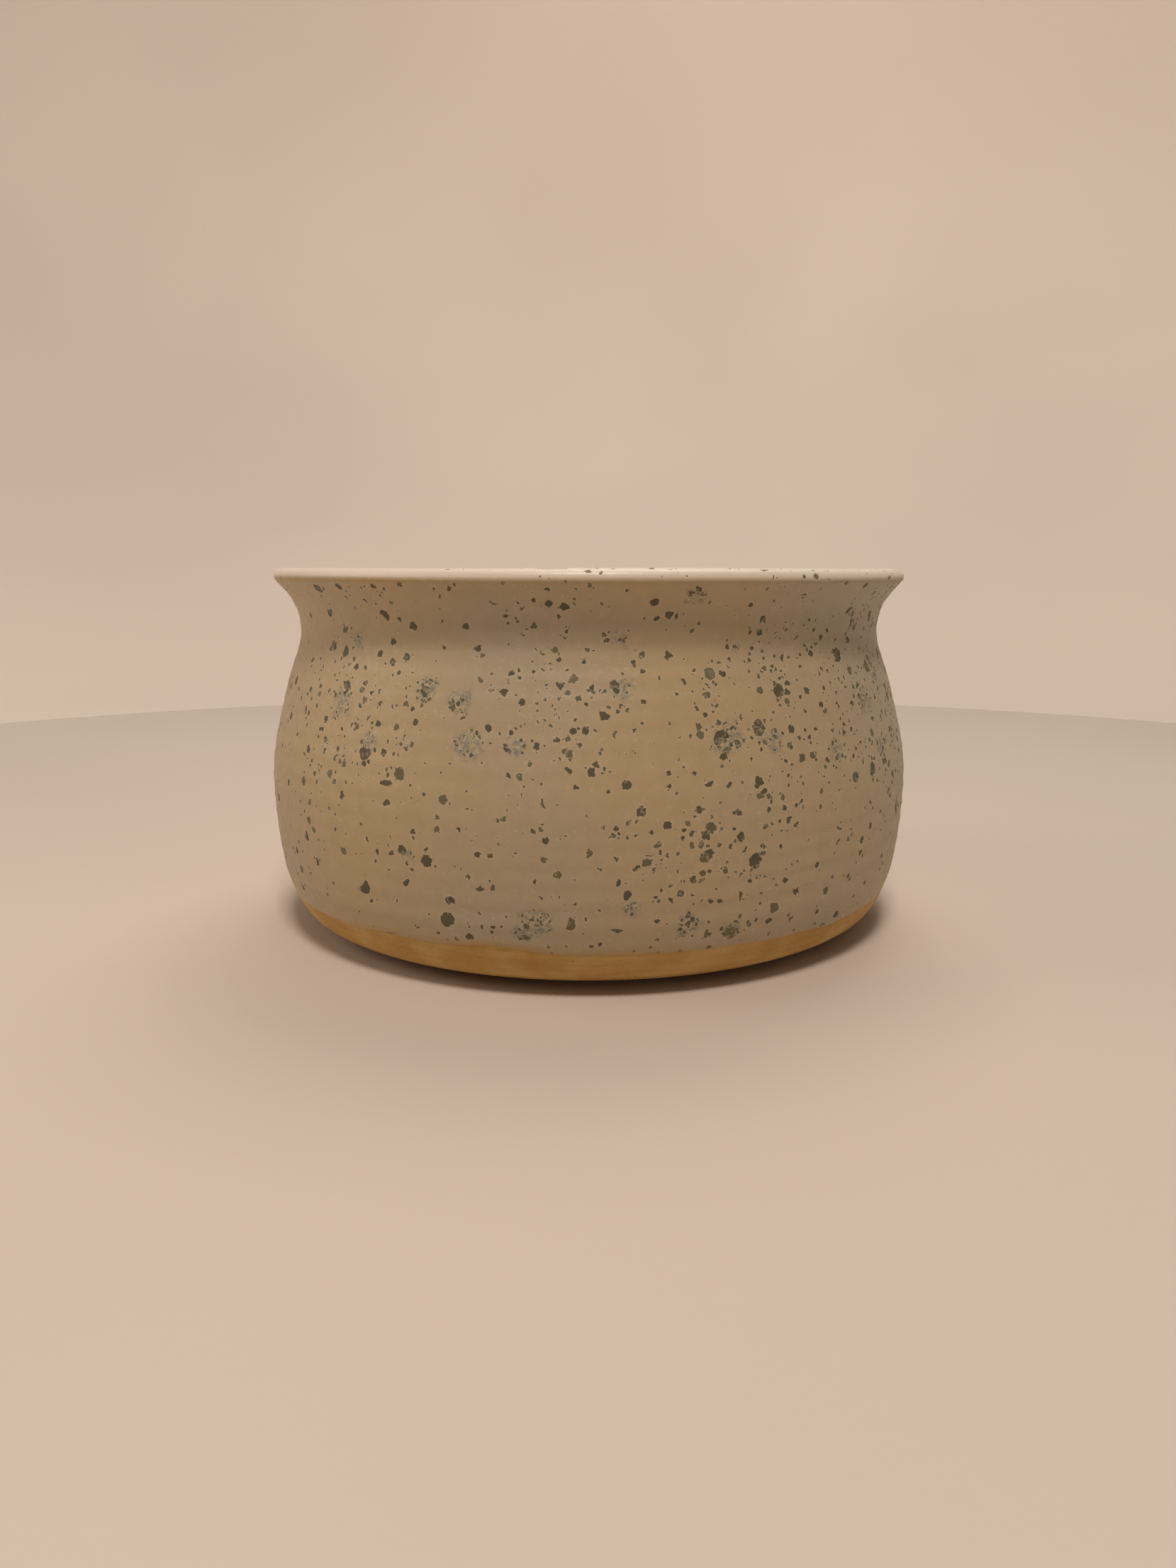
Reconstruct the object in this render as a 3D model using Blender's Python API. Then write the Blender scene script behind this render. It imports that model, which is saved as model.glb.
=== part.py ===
"""Hand-thrown stoneware yarn bowl: fired clay body, speckled outer glaze and liner glaze.

Metres, +Z up. The origin is on the table, at the centre of the foot ring.
The yarn slot faces +Y. Radii and heights are of the clay surface, under the glaze.
"""
import math

import bmesh
import bpy
from mathutils import Vector

# Overall form of the clay
HEIGHT = 0.0832
RIM_RADIUS = 0.0737
WALL = 0.0044
LIP_THICKNESS = 0.0017
RIM_LEAN = math.radians(48)

# Outer wall: a flared rim, a concave neck, a full belly and a tucked-in heel.
# An inset is how far inside the rim's radius the wall lies there, and a swell is how far outside.
FLARE_INSET = 0.0043
FLARE_DROP = 0.0068
NECK_INSET = 0.0056
NECK_DROP = 0.0138
BELLY_SWELL = 0.0020
BELLY_HEIGHT = 0.0370
HEEL_INSET = 0.0019
HEEL_HEIGHT = 0.0081
TOE_INSET = 0.0072
TOE_HEIGHT = 0.0030

# Foot ring and floor
FOOT_RADIUS = 0.0490
FOOT_STEP = 0.0008
FOOT_RING_WIDTH = 0.0080
FOOT_RECESS = 0.0025
FOOT_CHAMFER = 0.0005
FLOOR = 0.0065
FLOOR_CORNER = 0.0220

# Glaze coats
GLAZE = 0.0005
GAP = 0.0003
GLAZE_LINE = 0.0095
LIP_OVERLAP = 0.0050

# Yarn slot: a straight run down from the rim, which curls round at its lower end
SLOT_WIDTH = 0.0070
SLOT_RUN = 0.0290
CURL_RADIUS = 0.0110
CURL_SWEEP = math.radians(250)

# Fineness of the meshes, and how far a cutter runs past what it cuts
TURN_STEPS = 64
SPAN_STEPS = 3
LIP_STEPS = 4
CORNER_STEPS = 4
CURL_STEPS = 14
CAP_STEPS = 5
PAST = 0.0020
SHADE_ANGLE = math.radians(35)

LIP_RADIUS = LIP_THICKNESS / 2


def clear_scene():
    """Remove whatever the file holds."""
    for item in list(bpy.data.objects):
        bpy.data.objects.remove(item, do_unlink=True)


def material(name, colour, roughness):
    """A plain non-metallic material."""
    made = bpy.data.materials.new(name)
    made.use_nodes = True
    shader = made.node_tree.nodes["Principled BSDF"]
    shader.inputs["Base Color"].default_value = (*colour, 1.0)
    shader.inputs["Roughness"].default_value = roughness
    shader.inputs["Metallic"].default_value = 0.0
    return made


def smooth_through(before, knots):
    """Points on a centripetal Catmull-Rom curve through the knots, led in from a point before."""
    line = [before, *knots, knots[-1] * 2 - knots[-2]]
    points = []
    for a, b, c, d in zip(line, line[1:], line[2:], line[3:]):
        t1 = (b - a).length ** 0.5
        t2 = t1 + (c - b).length ** 0.5
        t3 = t2 + (d - c).length ** 0.5
        for step in range(SPAN_STEPS):
            t = t1 + (t2 - t1) * step / SPAN_STEPS
            ab = a.lerp(b, t / t1)
            bc = b.lerp(c, (t - t1) / (t2 - t1))
            cd = c.lerp(d, (t - t2) / (t3 - t2))
            abc = ab.lerp(bc, t / t2)
            bcd = bc.lerp(cd, (t - t1) / (t3 - t1))
            points.append(abc.lerp(bcd, (t - t1) / (t2 - t1)))
    points.append(knots[-1].copy())
    return points


def outer_wall():
    """Outside of the clay, as (radius, height) from the lip down to the foot ring."""
    lip_centre = Vector((RIM_RADIUS - LIP_RADIUS, HEIGHT - LIP_RADIUS))
    across = Vector((math.cos(RIM_LEAN), -math.sin(RIM_LEAN)))
    up = Vector((math.sin(RIM_LEAN), math.cos(RIM_LEAN)))
    rim = lip_centre + across * LIP_RADIUS
    flare = Vector((RIM_RADIUS - FLARE_INSET, HEIGHT - FLARE_DROP))
    neck = Vector((RIM_RADIUS - NECK_INSET, HEIGHT - NECK_DROP))
    belly = Vector((RIM_RADIUS + BELLY_SWELL, BELLY_HEIGHT))
    shoulder = Vector(((neck.x + belly.x) / 2, neck.y * 0.6 + belly.y * 0.4))
    heel = Vector((RIM_RADIUS - HEEL_INSET, HEEL_HEIGHT))
    toe = Vector((RIM_RADIUS - TOE_INSET, TOE_HEIGHT))
    foot = Vector((FOOT_RADIUS, FOOT_STEP))
    before = rim + up * (rim - flare).length
    return smooth_through(before, [rim, flare, neck, shoulder, belly, heel, toe, foot])


def moved(line, distances):
    """A line that runs down the outside, each point moved away from the axis by its distance."""
    found = []
    for index, (point, distance) in enumerate(zip(line, distances)):
        along = line[min(index + 1, len(line) - 1)] - line[max(index - 1, 0)]
        normal = Vector((-along.y, along.x)).normalized()
        found.append(point + normal * distance)
    return found


def down_to(line, height):
    """The part of a falling line above a height, ended exactly at that height."""
    kept = []
    for point, after in zip(line, line[1:]):
        kept.append(point)
        if after.y <= height:
            kept.append(point.lerp(after, (point.y - height) / (point.y - after.y)))
            return kept
    return kept + [line[-1]]


def below(line, height):
    """The part of a falling line below a height, started exactly at that height."""
    above = down_to(line, height)
    return [above[-1]] + [point for point in line if point.y < height]


def arc(centre, radius, start, end, steps):
    """Points along an arc, both ends included."""
    turns = [start + (end - start) * step / steps for step in range(steps + 1)]
    return [centre + Vector((math.cos(turn), math.sin(turn))) * radius for turn in turns]


def outside(distance):
    """The outer wall, coated to a distance, from the lip down."""
    line = outer_wall()
    return moved(line, [distance] * len(line))


def lip(distance):
    """The rounded lip, coated to a distance, from the inner wall over to the outer wall."""
    centre = Vector((RIM_RADIUS - LIP_RADIUS, HEIGHT - LIP_RADIUS))
    whole = arc(centre, LIP_RADIUS + distance, math.pi - RIM_LEAN, -RIM_LEAN, LIP_STEPS + 1)
    return whole[1:-1]


def inside(distance):
    """The inner wall, coated to a distance, from the lip down to the floor's corner."""
    line = outer_wall()
    taper = [min(index / (2 * SPAN_STEPS), 1.0) for index in range(len(line))]
    depths = [-LIP_THICKNESS - (WALL - LIP_THICKNESS) * share - distance for share in taper]
    return down_to(moved(line, depths), FOOT_RECESS + FLOOR + FLOOR_CORNER)


def floor(distance):
    """The floor, coated to a distance, from the foot of the inner wall to the axis."""
    radius = FLOOR_CORNER - distance
    wall_foot = inside(distance)[-1]
    corner = arc(wall_foot - Vector((radius, 0.0)), radius, 0.0, -math.pi / 2, CORNER_STEPS)
    return corner[1:] + [Vector((0.0, corner[-1].y))]


def revolved(name, profile):
    """A closed solid turned about Z from a profile of (radius, height) points.

    The profile is either a closed loop, or starts and ends on the axis.
    """
    shape = bmesh.new()
    rings = []
    for point in profile:
        if point.x == 0.0:
            rings.append([shape.verts.new((0.0, 0.0, point.y))] * TURN_STEPS)
            continue
        ring = []
        for step in range(TURN_STEPS):
            turn = 2 * math.pi * step / TURN_STEPS
            ring.append(shape.verts.new((point.x * math.cos(turn), point.x * math.sin(turn), point.y)))
        rings.append(ring)
    pairs = list(zip(rings, rings[1:]))
    if profile[0].x > 0.0:
        pairs.append((rings[-1], rings[0]))
    for one, other in pairs:
        for step in range(TURN_STEPS):
            after = (step + 1) % TURN_STEPS
            corners = [one[step], one[after], other[after], other[step]]
            shape.faces.new(list(dict.fromkeys(corners)))
    bmesh.ops.recalc_face_normals(shape, faces=shape.faces)
    return from_bmesh(name, shape)


def from_bmesh(name, shape):
    """An object from a bmesh, smooth but for its sharp edges."""
    mesh = bpy.data.meshes.new(name)
    shape.to_mesh(mesh)
    shape.free()
    mesh.shade_smooth()
    mesh.set_sharp_from_angle(angle=SHADE_ANGLE)
    made = bpy.data.objects.new(name, mesh)
    bpy.context.scene.collection.objects.link(made)
    return made


def slot_outline(half_width):
    """The slot's outline as seen from -Y: down one side, round the curl's end, and back up."""
    centre = Vector((0.0, HEIGHT - SLOT_RUN))
    top = HEIGHT + GAP + GLAZE + PAST
    start = math.pi
    end = math.pi + CURL_SWEEP
    outer_side = arc(centre, CURL_RADIUS + half_width, start, end, CURL_STEPS)
    inner_side = arc(centre, CURL_RADIUS - half_width, end, start, CURL_STEPS)
    tip = centre + Vector((math.cos(end), math.sin(end))) * CURL_RADIUS
    cap = arc(tip, half_width, end, end + math.pi, CAP_STEPS)
    mouth_far = Vector((outer_side[0].x, top))
    mouth_near = Vector((inner_side[-1].x, top))
    return [mouth_far, *outer_side, *cap[1:-1], *inner_side, mouth_near]


def slot_cutter(name, half_width):
    """The slot as a prism that runs out through the +Y wall."""
    shape = bmesh.new()
    inner = RIM_RADIUS * 0.5
    outer = RIM_RADIUS * 1.5
    near = [shape.verts.new((point.x, inner, point.y)) for point in slot_outline(half_width)]
    far = [shape.verts.new((point.x, outer, point.y)) for point in slot_outline(half_width)]
    shape.faces.new(near)
    shape.faces.new(list(reversed(far)))
    for index in range(len(near)):
        after = (index + 1) % len(near)
        shape.faces.new((near[index], far[index], far[after], near[after]))
    bmesh.ops.recalc_face_normals(shape, faces=shape.faces)
    return as_cutter(from_bmesh(name, shape))


def as_cutter(item):
    """Mark an object as a cutter, which is not a piece of the bowl."""
    item.hide_render = True
    item.display_type = "WIRE"
    return item


def cut(target, cutter):
    """Take a cutter out of an object."""
    step = target.modifiers.new(cutter.name, "BOOLEAN")
    step.operation = "DIFFERENCE"
    step.solver = "EXACT"
    step.object = cutter


def stoneware_body():
    """The fired clay: wall, floor and turned foot ring, cut through by the yarn slot."""
    ring_inner = FOOT_RADIUS - FOOT_RING_WIDTH
    foot = [
        Vector((FOOT_RADIUS, FOOT_CHAMFER)),
        Vector((FOOT_RADIUS - FOOT_CHAMFER, 0.0)),
        Vector((ring_inner + FOOT_CHAMFER, 0.0)),
        Vector((ring_inner, FOOT_CHAMFER)),
        Vector((ring_inner - FOOT_CHAMFER, FOOT_RECESS)),
        Vector((0.0, FOOT_RECESS)),
    ]
    inner = list(reversed(inside(0.0) + floor(0.0)))
    body = revolved("stoneware_body", [*inner, *lip(0.0), *outside(0.0), *foot])
    body.data.materials.append(material("bare_stoneware", (0.30, 0.155, 0.062), 0.85))
    cut(body, slot_cutter("slot_in_clay", SLOT_WIDTH / 2 + GLAZE + GAP))
    return body


def glaze_core():
    """Everything that the outer glaze leaves free: the clay, and the space inside under the lip."""
    lap_end = HEIGHT - LIP_THICKNESS - LIP_OVERLAP
    bottom = GLAZE_LINE - PAST
    lap = down_to(inside(GAP), lap_end)
    within = down_to(below(inside(GAP + GLAZE + PAST), lap_end), FOOT_RECESS + FLOOR + FLOOR_CORNER)
    profile = [Vector((within[-1].x, bottom)), *reversed(within), *reversed(lap)]
    profile += [*lip(GAP), *down_to(outside(GAP), bottom)]
    core = as_cutter(revolved("glaze_core", profile))
    cut(core, slot_cutter("slot_in_core", SLOT_WIDTH / 2 + GLAZE))
    return core


def outer_glaze():
    """The coat outside and over the lip, which also lines the slot."""
    wall = down_to(outside(GAP + GLAZE), GLAZE_LINE)
    inner = inside(GAP + GLAZE)
    profile = [Vector((inner[-1].x, GLAZE_LINE)), *reversed(inner), *lip(GAP + GLAZE), *wall]
    coat = revolved("outer_glaze", profile)
    coat.data.materials.append(material("speckled_glaze", (0.31, 0.24, 0.16), 0.55))
    cut(coat, slot_cutter("slot_in_glaze", SLOT_WIDTH / 2))
    cut(coat, glaze_core())
    return coat


def liner_glaze():
    """The coat inside, from just under the lip's coat to the floor."""
    top = HEIGHT - LIP_THICKNESS - LIP_OVERLAP - GAP
    under = below(inside(GAP), top) + floor(GAP)
    over = below(inside(GAP + GLAZE), top) + floor(GAP + GLAZE)
    coat = revolved("liner_glaze", [*reversed(over), *under])
    coat.data.materials.append(material("liner_glaze", (0.42, 0.34, 0.24), 0.50))
    cut(coat, slot_cutter("slot_in_liner", SLOT_WIDTH / 2 + GLAZE + GAP))
    return coat


def build():
    """Make the bowl."""
    clear_scene()
    stoneware_body()
    outer_glaze()
    liner_glaze()


build()
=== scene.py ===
"""Looks of the hand-thrown stoneware yarn bowl: fired clay, speckled glaze and liner glaze.

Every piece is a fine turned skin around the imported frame, with the same yarn slot cut through it.
A skin is laid out on (turn, along): turn is the angle from +Y towards +X, and along is the
distance in metres up the outside, over the lip and down the inside.
"""

import math

import bmesh
import bpy
import numpy as np
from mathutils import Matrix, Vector
from mathutils.geometry import delaunay_2d_cdt


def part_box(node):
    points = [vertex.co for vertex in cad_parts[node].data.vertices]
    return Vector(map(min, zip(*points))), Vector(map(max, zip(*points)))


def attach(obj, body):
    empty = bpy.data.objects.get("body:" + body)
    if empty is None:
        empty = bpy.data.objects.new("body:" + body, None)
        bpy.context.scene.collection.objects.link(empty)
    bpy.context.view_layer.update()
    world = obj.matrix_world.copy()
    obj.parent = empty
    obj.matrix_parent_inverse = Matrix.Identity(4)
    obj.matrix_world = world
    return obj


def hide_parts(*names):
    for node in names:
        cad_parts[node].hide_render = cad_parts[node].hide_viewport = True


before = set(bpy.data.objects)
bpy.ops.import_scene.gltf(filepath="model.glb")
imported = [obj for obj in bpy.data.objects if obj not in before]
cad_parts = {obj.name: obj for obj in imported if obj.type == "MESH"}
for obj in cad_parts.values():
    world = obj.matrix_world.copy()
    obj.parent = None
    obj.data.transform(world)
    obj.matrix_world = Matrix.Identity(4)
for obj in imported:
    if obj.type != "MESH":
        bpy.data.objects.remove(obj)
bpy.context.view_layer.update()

MM = 0.001

# The clay's form, as in the CAD part
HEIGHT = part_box("stoneware_body")[1].z
RIM_RADIUS = 73.7 * MM
WALL = 4.4 * MM
LIP_THICKNESS = 1.7 * MM
LIP_RADIUS = LIP_THICKNESS / 2
RIM_LEAN = math.radians(48)
FLARE = (RIM_RADIUS - 4.3 * MM, HEIGHT - 6.8 * MM)
NECK = (RIM_RADIUS - 5.6 * MM, HEIGHT - 13.8 * MM)
BELLY = (RIM_RADIUS + 2.0 * MM, 37.0 * MM)
SHOULDER = ((NECK[0] + BELLY[0]) / 2, NECK[1] * 0.6 + BELLY[1] * 0.4)
HEEL = (RIM_RADIUS - 1.9 * MM, 8.1 * MM)
TOE = (RIM_RADIUS - 7.2 * MM, 3.0 * MM)
FOOT = (49.0 * MM, 0.8 * MM)
FOOT_RING_WIDTH = 8.0 * MM
FOOT_RECESS = 2.5 * MM
FLOOR_LEVEL = 9.0 * MM
FLOOR_CORNER = 22.0 * MM
SLOT_HALF = 3.5 * MM
CURL_RADIUS = 11.0 * MM
CURL_SWEEP = math.radians(250)
CURL_LEVEL = HEIGHT - 29.0 * MM
CURL_END = math.pi + CURL_SWEEP
CURL_TIP = (CURL_RADIUS * math.cos(CURL_END), CURL_LEVEL + CURL_RADIUS * math.sin(CURL_END))

# How far each surface stands off the CAD clay, and where the coats end
COAT_LIFT = 0.8 * MM
LINER_LIFT = 0.5 * MM
BARE_LIFT = 0.4 * MM
GLAZE_LINE = 9.6 * MM
LAP_DROP = 9.0 * MM
COLLAR = 4.0 * MM
SLOT_ROUND = 1.3 * MM

# The patch of finer mesh round the slot: how far it reaches each way, and the height where it ends
PATCH_TURN = math.radians(20)
PATCH_FOOT = 32.0 * MM

# The coats' thickness, the depth of the marks on each surface, and where the bare clay goes under the coat
COAT_THICKNESS = 0.4 * MM
COAT_RINGS = 0.10 * MM
LINER_RINGS = 0.13 * MM
TURNING_LINES = 0.05 * MM
RECESS_LINES = 0.10 * MM
BARE_FADE = (16.0 * MM, 24.0 * MM)
HIDDEN_CLAY = 20.0 * MM

# Fineness of the skins
TURN_STEPS = 384
LINER_TURN_STEPS = 320
LIP_STEPS = 24
TAPER_STEPS = 48
WELD = 3e-6


# ---------------------------------------------------------------- outlines

def curve_through(before, knots, steps=24):
    """Dense points on a centripetal Catmull-Rom curve through the knots."""
    knots = [np.array(knot) for knot in knots]
    line = [np.array(before), *knots, 2 * knots[-1] - knots[-2]]
    points = []
    for a, b, c, d in zip(line, line[1:], line[2:], line[3:]):
        t1 = np.linalg.norm(b - a) ** 0.5
        t2 = t1 + np.linalg.norm(c - b) ** 0.5
        t3 = t2 + np.linalg.norm(d - c) ** 0.5
        for t in np.linspace(t1, t2, steps, endpoint=False):
            ab = a + (b - a) * t / t1
            bc = b + (c - b) * (t - t1) / (t2 - t1)
            cd = c + (d - c) * (t - t2) / (t3 - t2)
            abc = ab + (bc - ab) * t / t2
            bcd = bc + (cd - bc) * (t - t1) / (t3 - t1)
            points.append(abc + (bcd - abc) * (t - t1) / (t2 - t1))
    points.append(knots[-1])
    return np.array(points)


def clay_wall():
    """The clay's outside as (radius, height), from the lip down to the foot."""
    across = np.array((math.cos(RIM_LEAN), -math.sin(RIM_LEAN)))
    up = np.array((math.sin(RIM_LEAN), math.cos(RIM_LEAN)))
    rim = lip_centre() + across * LIP_RADIUS
    before = rim + up * np.linalg.norm(rim - np.array(FLARE))
    return curve_through(before, [rim, FLARE, NECK, SHOULDER, BELLY, HEEL, TOE, FOOT])


def lip_centre():
    """Centre of the lip's round section, as (radius, height)."""
    return np.array((RIM_RADIUS - LIP_RADIUS, HEIGHT - LIP_RADIUS))


def moved(line, distances):
    """A line that runs down the outside, moved away from the axis along its normals."""
    along = np.gradient(line, axis=0)
    along /= np.linalg.norm(along, axis=1)[:, None]
    normals = np.column_stack([-along[:, 1], along[:, 0]])
    return line + normals * np.broadcast_to(distances, len(line))[:, None]


def arc(centre, radius, start, end, steps):
    """Points along an arc, both ends included."""
    turns = np.linspace(start, end, steps + 1)
    return np.array(centre) + radius * np.column_stack([np.cos(turns), np.sin(turns)])


def skin_line(lift):
    """The bowl's whole section at a lift off the clay: up the outside, over the lip, down to the axis."""
    wall = clay_wall()
    count = len(wall)
    outer = moved(wall, lift)[::-1]
    lip = arc(lip_centre(), LIP_RADIUS + lift, -RIM_LEAN, math.pi - RIM_LEAN, LIP_STEPS)[1:-1]
    taper = np.minimum(np.arange(count) / TAPER_STEPS, 1.0)
    inner = moved(wall, -LIP_THICKNESS - (WALL - LIP_THICKNESS) * taper - lift)
    inner = inner[inner[:, 1] > FLOOR_LEVEL + FLOOR_CORNER]
    radius = FLOOR_CORNER - lift
    corner = arc(inner[-1] - np.array((radius, 0.0)), radius, 0.0, -math.pi / 2, 24)[1:]
    middle = np.array([[0.0, corner[-1, 1]]])
    return np.vstack([outer, lip, inner, corner, middle])


class Line:
    """A section line that can be read at any distance along it."""

    def __init__(self, points):
        steps = np.linalg.norm(np.diff(points, axis=0), axis=1)
        self.along = np.concatenate([[0.0], np.cumsum(steps)])
        self.points = points
        slopes = np.gradient(points, self.along, axis=0)
        slopes /= np.linalg.norm(slopes, axis=1)[:, None]
        self.normals = np.column_stack([slopes[:, 1], -slopes[:, 0]])
        self.apex = self.along[np.argmax(points[:, 1])]

    def read(self, along):
        """Radius, height and the two parts of the normal at each distance."""
        radius = np.interp(along, self.along, self.points[:, 0])
        height = np.interp(along, self.along, self.points[:, 1])
        normal_r = np.interp(along, self.along, self.normals[:, 0])
        normal_z = np.interp(along, self.along, self.normals[:, 1])
        return radius, height, normal_r, normal_z

    def outside_at(self, height):
        """Distance along at a height on the outside."""
        rising = self.along <= self.apex
        return np.interp(height, self.points[rising, 1], self.along[rising])

    def inside_at(self, height):
        """Distance along at a height on the inside."""
        falling = self.along >= self.apex
        return np.interp(-np.asarray(height), -self.points[falling, 1], self.along[falling])


# ---------------------------------------------------------------- yarn slot

def slot_distance(x, z):
    """Distance outside the slot, in the plane that it is cut in. Negative inside it."""
    run = np.hypot(x + CURL_RADIUS, np.minimum(z - CURL_LEVEL, 0.0))
    turn = np.mod(np.arctan2(z - CURL_LEVEL, x) - math.pi, 2 * math.pi)
    ring = np.abs(np.hypot(x, z - CURL_LEVEL) - CURL_RADIUS)
    tip = np.hypot(x - CURL_TIP[0], z - CURL_TIP[1])
    curl = np.where(turn <= CURL_SWEEP, ring, tip)
    return np.minimum(run, curl) - SLOT_HALF


def slot_curl(half, spacing):
    """Outline of the slot's curl at a half width, from its far side round the end to its near side."""
    centre = (0.0, CURL_LEVEL)
    far = CURL_RADIUS + half
    near = CURL_RADIUS - half
    outer = arc(centre, far, math.pi, CURL_END, round(far * CURL_SWEEP / spacing))
    cap = arc(CURL_TIP, half, CURL_END, CURL_END + math.pi, max(4, round(half * math.pi / spacing)))
    inner = arc(centre, near, CURL_END, math.pi, round(near * CURL_SWEEP / spacing))
    return np.vstack([outer, cap[1:-1], inner])


def slot_levels(line, lift, spacing):
    """Heights up the slot's straight sides, closer together over the rounded lip."""
    centre = lip_centre()[1]
    straight = np.linspace(CURL_LEVEL, centre, round((centre - CURL_LEVEL) / spacing))
    over = centre + (line.points[:, 1].max() - centre) * np.sin(np.linspace(0.0, math.pi / 2, 9))
    return np.concatenate([straight[1:-1], over[:-1]])


def turn_of(x, radius):
    """The turn at which a point x off the slot's middle plane lies."""
    return np.arcsin(np.clip(x / radius, -1.0, 1.0))


def slot_sides(line, extra, spacing=0.6 * MM):
    """The slot's edge at an extra width, as (turn, along) pairs on the outside and on the inside."""
    half = SLOT_HALF + extra
    levels = slot_levels(line, extra, spacing)
    curl = slot_curl(half, spacing)
    top = line.points[:, 1].max()
    x = np.concatenate([
        [-CURL_RADIUS - half], np.full(len(levels), -CURL_RADIUS - half), curl[:, 0],
        np.full(len(levels), -CURL_RADIUS + half), [-CURL_RADIUS + half]])
    z = np.concatenate([[top], levels[::-1], curl[:, 1], levels, [top]])
    pairs = []
    for reader in (line.outside_at, line.inside_at):
        along = reader(z)
        along[[0, -1]] = line.apex
        radius = line.read(along)[0]
        pairs.append(np.column_stack([turn_of(x, radius), along]))
    return pairs


# ---------------------------------------------------------------- surface shape

def smooth(low, high, value):
    """Smooth step from 0 to 1."""
    share = np.clip((value - low) / (high - low), 0.0, 1.0)
    return share * share * (3 - 2 * share)


# The glaze line against its middle height: degrees round from the front towards +X, and millimetres up
GLAZE_WAVES = (
    (-180, 0.1), (-150, 0.8), (-125, -0.4), (-100, 0.5), (-76, -0.7), (-50, -0.9), (-35, 1.0), (-26, 0.6),
    (-14, 1.7), (-2, 0.2), (8, 0.0), (24, -1.0), (33, -0.7), (50, -2.2), (72, -2.5), (95, -0.8),
    (120, -1.2), (150, 0.6), (180, 0.1),
)


def glaze_edge(turn):
    """Height of the wavy glaze line round the bowl, against its middle height."""
    degrees, heights = np.array(GLAZE_WAVES, float).T
    front = 180 - np.degrees(turn) % 360
    after = np.clip(np.searchsorted(degrees, front, side="right"), 1, len(degrees) - 1)
    share = smooth(degrees[after - 1], degrees[after], front)
    level = heights[after - 1] + share * (heights[after] - heights[after - 1])
    return MM * (level + 0.12 * np.sin(9 * turn + 1.0) + 0.08 * np.sin(17 * turn))


def lap_edge(turn):
    """How far the coat's inner edge runs above or below its middle height."""
    return MM * (0.8 * np.sin(2 * turn + 0.5) + 0.5 * np.sin(5 * turn + 2.0) + 0.25 * np.sin(11 * turn))


def throwing_rings(turn, height, depth):
    """Finger ridges that climb round the wall."""
    level = height / MM
    ridges = np.sin(1.45 * level + turn + 0.8 * np.sin(0.21 * level))
    fine = np.sin(3.3 * level + 2 * turn + 1.3 * np.sin(0.37 * level) + 0.5 * np.sin(3 * turn))
    fade = 0.65 + 0.35 * np.sin(2 * turn + 0.13 * level)
    return depth * fade * (0.7 * ridges + 0.3 * fine)


def settle(x, y, z):
    """The slight out-of-round and uneven rim of a bowl thrown by hand."""
    turn = np.arctan2(x, y)
    grow = 1 + 0.0012 * np.sin(2 * turn + 0.6) + 0.0008 * np.sin(3 * turn + 2.0)
    upper = smooth(0.6 * HEIGHT, HEIGHT, z)
    rise = MM * (0.10 * np.sin(turn + 2.6) + 0.10 * np.sin(2 * turn + 0.4) + 0.06 * np.sin(5 * turn))
    return x * grow, y * grow, z + upper * rise


# ---------------------------------------------------------------- skins

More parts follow.
